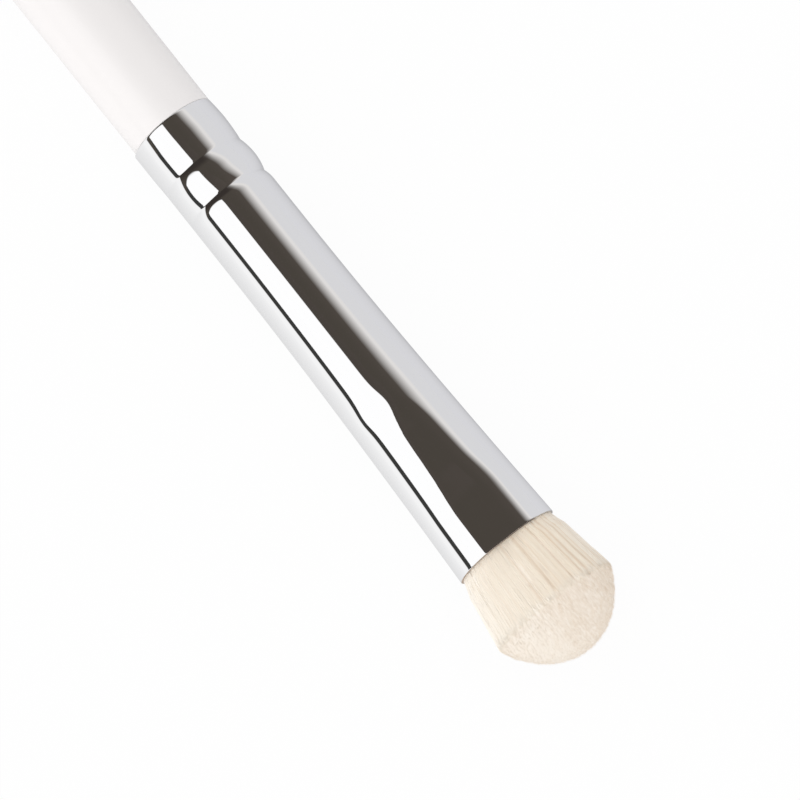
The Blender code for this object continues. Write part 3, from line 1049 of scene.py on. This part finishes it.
def set_adhesive():
    """Cured adhesive, darker where it set thick."""
    return clouded_finish(
        "set_adhesive", ADHESIVE, roughness=0.4,
        scale=900, detail=4, stretch=(1, 1, 1), strength=0.3, distance=0.0001,
    )


# Studio


def light_path(tree):
    """Whether a ray comes from the camera, and whether it comes off gloss or through glass."""
    path = tree.nodes.new("ShaderNodeLightPath")
    glossy, through = path.outputs["Is Glossy Ray"], path.outputs["Is Transmission Ray"]
    return path.outputs["Is Camera Ray"], reckon(tree, "MAXIMUM", glossy, through)


def make_floor():
    """A plain white floor that keeps a soft shadow of the brush. The plating sees it mostly as
    glow, with painted shadow near the brush and painted shade on the +Y side.
    """
    bpy.ops.object.select_all(action="DESELECT")
    bpy.ops.mesh.primitive_plane_add(size=FLOOR_SIZE, location=(0, 0, 0))
    floor = bpy.context.object
    floor.name = "floor"
    finish, tree, paper = new_finish("white_floor")
    paper.inputs["Base Color"].default_value = PAPER
    paper.inputs["Roughness"].default_value = 1.0
    paper.inputs["Specular IOR Level"].default_value = 0.0
    glow = tree.nodes.new("ShaderNodeEmission")
    mixed = tree.nodes.new("ShaderNodeMixShader")
    camera, gloss = light_path(tree)
    across = parts_of(tree, own_place(tree))[1]
    away = reckon(tree, "MAXIMUM", reckon(tree, "ABSOLUTE", across), FLOOR_NEAREST)
    shadow_nearness = reckon(tree, "DIVIDE", FLOOR_NEAR, away)
    # Painted shadow: what the plating shows of the floor darkens near the brush, and more on the +Y
    # side
    left = blend(tree, reckon(tree, "POWER", shadow_nearness, LEFT_POWER), *LEFT_FLOOR_PAINTED_SHADOW)
    right = blend(tree, reckon(tree, "POWER", shadow_nearness, RIGHT_POWER), *RIGHT_FLOOR_PAINTED_SHADE)
    reflected = blend(tree, rise(tree, across, *FLOOR_MIDDLE), left, right)
    feed(tree, blend(tree, gloss, WHITE, reflected), glow.inputs["Color"])
    seen_glow, reflected_glow = times(tree, camera, SEEN_GLOW), times(tree, gloss, REFLECTED_GLOW)
    feed(tree, reckon(tree, "MAXIMUM", seen_glow, reflected_glow), mixed.inputs[0])
    feed(tree, paper.outputs[0], mixed.inputs[1])
    feed(tree, glow.outputs[0], mixed.inputs[2])
    output = next(node for node in tree.nodes if node.type == "OUTPUT_MATERIAL")
    feed(tree, mixed.outputs[0], output.inputs["Surface"])
    floor.data.materials.append(finish)
    return floor


def reflected_room(tree, x, angle):
    """What metal shows: walls, white panel, dark card and line, and the crimps' backdrop."""
    slope = reckon(tree, "ADD", x, STRAIGHT_SLOPE)
    slope_squared = times(tree, slope, reckon(tree, "ABSOLUTE", slope))
    turned = reckon(tree, "MULTIPLY_ADD", slope_squared, CARD_TURN, angle)

    seen = blend(tree, rise(tree, angle, *SIDE_WALL_FROM), WHITE, SIDE_WALL)
    cream = rise(tree, turned, *CREAM_WALL_FROM)
    cream = times(tree, cream, fall(tree, turned, *CREAM_WALL_TO))
    seen = blend(tree, cream, seen, CREAM_WALL)

    panel_to = reckon(tree, "MULTIPLY_ADD", slope, PANEL_TURN, PANEL_TO)
    panel = rise(tree, angle, *PANEL_FROM)
    panel = times(tree, panel, reckon(tree, "LESS_THAN", angle, panel_to))
    seen = blend(tree, panel, seen, PANEL)

    past_panel = rise(tree, reckon(tree, "SUBTRACT", angle, panel_to), -PANEL_BLUR, PANEL_BLUR)
    card = times(tree, past_panel, fall(tree, turned, *CARD_TO, smooth=False))
    seen = blend(tree, card, seen, blend(tree, rise(tree, angle, *CARD_TONES), *CARD))

    line = rise(tree, angle, *LINE_FROM)
    line = times(tree, line, reckon(tree, "LESS_THAN", angle, LINE_TO))
    seen = blend(tree, line, seen, LINE)

    bow = reckon(tree, "DIVIDE", reckon(tree, "ADD", angle, BOW_MIDDLE), BOW_REACH)
    bow = reckon(tree, "POWER", reckon(tree, "ABSOLUTE", bow), BOW_POWER)
    bow = reckon(tree, "MULTIPLY_ADD", bow, BOW_DEPTH, BACKDROP_SLOPE)
    behind = rise(tree, reckon(tree, "SUBTRACT", bow, x), -BACKDROP_BLUR, BACKDROP_BLUR)
    near = rise(tree, angle, *BACKDROP_FROM)
    near = times(tree, near, fall(tree, angle, *BACKDROP_TO))
    seen = blend(tree, times(tree, behind, near), seen, BACKDROP)
    groove = times(tree, near, fall(tree, x, *GROOVE_SLOPE))
    return blend(tree, groove, seen, GROOVE)


def make_studio():
    """A white studio: soft light from all round, more from -Y, and the room that metal shows."""
    world = bpy.data.worlds.new("studio")
    bpy.context.scene.world = world
    world.use_nodes = True
    tree = world.node_tree
    background = tree.nodes["Background"]
    camera, gloss = light_path(tree)
    x, y, z = parts_of(tree, tree.nodes.new("ShaderNodeTexCoord").outputs["Generated"])
    angle = times(tree, reckon(tree, "ARCTAN2", y, z), 180 / math.pi)
    soft = reckon(tree, "MULTIPLY_ADD", y, LIGHT_LESS_TOWARD_Y, 1.0)
    soft_light = tree.nodes.new("ShaderNodeCombineColor")
    for socket in soft_light.inputs[:3]:
        feed(tree, soft, socket)
    colour = blend(tree, gloss, soft_light.outputs[0], reflected_room(tree, x, angle))
    feed(tree, blend(tree, camera, colour, WHITE), background.inputs["Color"])
    background.inputs["Strength"].default_value = 1.0


def make_camera():
    """Looks down on the brush as the photograph does, a little from the side of the hair."""
    toward = Vector((math.sin(TILT), 0, math.cos(TILT)))
    along = Vector((math.cos(TILT), 0, -math.sin(TILT)))
    across = Vector((0, 1, 0))
    right = ROLL_RIGHT[0] * along + ROLL_RIGHT[1] * across
    up = -ROLL_RIGHT[1] * along + ROLL_RIGHT[0] * across
    mouth = Vector((MOUTH, 0, AXIS_HEIGHT))
    target = mouth + MOUTH_TO_CENTRE[0] * right + MOUTH_TO_CENTRE[1] * up
    lens = bpy.data.cameras.new("camera")
    lens.sensor_width = SENSOR
    lens.lens = SENSOR * CAMERA_DISTANCE * PIXELS_PER_METRE / PICTURE
    lens.clip_start = CLIP_START
    camera = bpy.data.objects.new("camera", lens)
    bpy.context.scene.collection.objects.link(camera)
    turn = Matrix((right, up, toward)).transposed()
    camera.matrix_world = Matrix.Translation(target + toward * CAMERA_DISTANCE) @ turn.to_4x4()
    bpy.context.scene.camera = camera


make_camera()
make_studio()
bpy.context.scene.view_settings.view_transform = "Standard"

lacquered_handle = make_handle(white_lacquer(), bare_wood())
plated_ferrule = make_ferrule(bright_plating(), cut_edge())
packed_hair = make_packed_hair(packed_roots())
hair_layers = make_hair(cream_hair("cream_hair"), cream_hair("cream_tips", tips=True))

for piece, node, slot in (
    (lacquered_handle, "handle", "handle_lacquer"),
    (plated_ferrule, "ferrule", "ferrule_plating"),
    (packed_hair, "hair_tuft", "hair"),
    *((layer, "hair_tuft", "hair") for layer in hair_layers),
):
    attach(piece, "root")
    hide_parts(node)

for node, finish in (
    ("binding_thread", tying_cotton()),
    ("resin_plug", set_resin()),
    ("tenon_glue", set_adhesive()),
):
    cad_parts[node].data.materials.clear()
    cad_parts[node].data.materials.append(finish)

make_floor()
